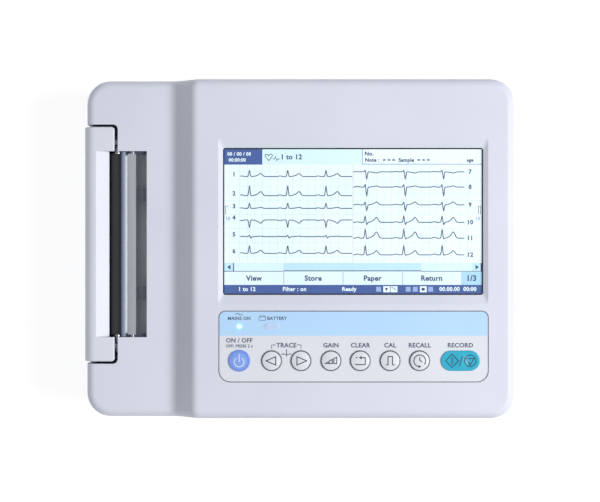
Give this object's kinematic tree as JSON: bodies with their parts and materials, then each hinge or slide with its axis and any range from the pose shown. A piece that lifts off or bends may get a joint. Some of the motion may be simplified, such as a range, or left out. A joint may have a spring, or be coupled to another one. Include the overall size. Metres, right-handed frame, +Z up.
{
  "type": "ecg machine",
  "caption": "Portable electrocardiograph: low printer deck with hinged paper door and window, step up to a panel with wide display, printed control strip and press keys.",
  "frame": {"origin": "on the table under the middle of the machine's box", "axes": "+X to the user's right, from the printer to the display; +Y to the back; +Z up"},
  "size_m": [0.2594, 0.2034, 0.0718],
  "materials": {
    "upper_shell": "fine textured moulding",
    "lower_shell": "fine textured moulding",
    "door_shell": "fine textured moulding",
    "window": "clear tinted moulding",
    "touch_glass": "clear cover with a lit picture behind it",
    "lcd": "display module",
    "overlay": "printed film",
    "light_keys": "smooth moulding",
    "power_blue": "smooth moulding",
    "start_cyan": "smooth moulding",
    "lamp_lens": "light guide",
    "black_rubber": "ground rubber",
    "steel": "bright",
    "spring_steel": "blued",
    "plated_steel": "zinc plate",
    "aluminium": "extruded",
    "brass": "plated",
    "ceramic": "glazed",
    "frame_black": "moulding",
    "gear_black": "acetal",
    "board_green": "solder mask",
    "components": "moulded packages",
    "battery_wrap": "shrink sleeve",
    "paper": "thermal paper",
    "card": "wound tube"
  },
  "bodies": {
    "case": {"upper_case": "upper_shell", "lower_case": "lower_shell", "case_screws": "plated_steel", "rubber_feet": "black_rubber", "battery_cover": "lower_shell", "cover_screws": "plated_steel", "battery_pack": "battery_wrap", "touch_panel": "touch_glass", "lcd_module": "lcd", "lcd_bracket": "plated_steel", "panel_overlay": "overlay", "keypad_board": "board_green", "push_switches": "components", "indicator_leds": "lamp_lens", "mains_lamp": "lamp_lens", "charge_lamp": "lamp_lens", "hinge_pins": "steel", "head_springs": "spring_steel", "printer_frame": "frame_black", "paper_tray": "frame_black", "printer_window": "window", "feed_motor": "plated_steel", "motor_bracket": "plated_steel", "idler_stud": "steel", "small_screws": "plated_steel", "main_board": "board_green", "main_board_parts": "components", "power_board": "board_green", "power_board_parts": "components", "amp_board": "board_green", "socket_board": "board_green", "mains_inlet": "frame_black", "inlet_blades": "brass", "earth_stud": "brass", "lan_socket": "plated_steel", "usb_socket": "plated_steel", "patient_connector": "plated_steel", "patient_insert": "frame_black", "jack_nuts": "plated_steel", "loudspeaker": "components"},
    "door": {"paper_door": "door_shell", "platen_bushes": "gear_black"},
    "platen": {"platen_shaft": "steel", "platen_roller": "black_rubber", "platen_gear": "gear_black"},
    "idler": {"idler_gear": "gear_black"},
    "rotor": {"motor_shaft": "steel", "motor_pinion": "brass"},
    "paper": {"paper_roll": "paper", "roll_core": "card"},
    "print_head": {"thermal_head": "ceramic", "head_heat_sink": "aluminium"},
    "power_key_body": {"power_key": "power_blue"},
    "lead_back_key_body": {"lead_back_key": "light_keys"},
    "lead_next_key_body": {"lead_next_key": "light_keys"},
    "gain_key_body": {"gain_key": "light_keys"},
    "reset_key_body": {"reset_key": "light_keys"},
    "cal_key_body": {"cal_key": "light_keys"},
    "review_key_body": {"review_key": "light_keys"},
    "start_stop_key_body": {"start_stop_key": "start_cyan"}
  },
  "joints": [
    {"name": "door_hinge", "type": "hinge", "parent": "case", "child": "door", "pos_m": [-0.1228, 0.00275, 0.013], "axis": [0, -1, 0], "range_deg": [0, 90]},
    {"name": "platen_spin", "type": "hinge", "parent": "door", "child": "platen", "pos_m": [-0.1106, 0.00275, 0.049], "axis": [0, 1, 0], "continuous": true},
    {"name": "idler_spin", "type": "hinge", "parent": "case", "child": "idler", "pos_m": [-0.09815, 0.0687, 0.03855], "axis": [0, 1, 0], "continuous": true},
    {"name": "motor_spin", "type": "hinge", "parent": "case", "child": "rotor", "pos_m": [-0.09073, 0.0687, 0.02569], "axis": [0, 1, 0], "continuous": true},
    {"name": "paper_spin", "type": "hinge", "parent": "case", "child": "paper", "pos_m": [-0.089, 0.00275, 0.0253], "axis": [0, 1, 0], "continuous": true},
    {"name": "head_slide", "type": "slide", "parent": "case", "child": "print_head", "axis": [1, 0, 0], "range_m": [0, 0.0005], "stiffness_N_per_m": 3000, "springref_m": -0.0015},
    {"name": "power_key_press", "type": "slide", "parent": "case", "child": "power_key_body", "axis": [0, 0, -1], "range_m": [0, 0.0007], "stiffness_N_per_m": 600, "springref_m": -0.001},
    {"name": "lead_back_key_press", "type": "slide", "parent": "case", "child": "lead_back_key_body", "axis": [0, 0, -1], "range_m": [0, 0.0007], "stiffness_N_per_m": 600, "springref_m": -0.001},
    {"name": "lead_next_key_press", "type": "slide", "parent": "case", "child": "lead_next_key_body", "axis": [0, 0, -1], "range_m": [0, 0.0007], "stiffness_N_per_m": 600, "springref_m": -0.001},
    {"name": "gain_key_press", "type": "slide", "parent": "case", "child": "gain_key_body", "axis": [0, 0, -1], "range_m": [0, 0.0007], "stiffness_N_per_m": 600, "springref_m": -0.001},
    {"name": "reset_key_press", "type": "slide", "parent": "case", "child": "reset_key_body", "axis": [0, 0, -1], "range_m": [0, 0.0007], "stiffness_N_per_m": 600, "springref_m": -0.001},
    {"name": "cal_key_press", "type": "slide", "parent": "case", "child": "cal_key_body", "axis": [0, 0, -1], "range_m": [0, 0.0007], "stiffness_N_per_m": 600, "springref_m": -0.001},
    {"name": "review_key_press", "type": "slide", "parent": "case", "child": "review_key_body", "axis": [0, 0, -1], "range_m": [0, 0.0007], "stiffness_N_per_m": 600, "springref_m": -0.001},
    {"name": "start_stop_key_press", "type": "slide", "parent": "case", "child": "start_stop_key_body", "axis": [0, 0, -1], "range_m": [0, 0.0007], "stiffness_N_per_m": 600, "springref_m": -0.001}
  ],
  "couplings": [
    {"joint": "platen_spin", "follows": "paper_spin", "ratio": -3.6},
    {"joint": "idler_spin", "follows": "paper_spin", "ratio": 1.92},
    {"joint": "motor_spin", "follows": "paper_spin", "ratio": -4.8}
  ]
}
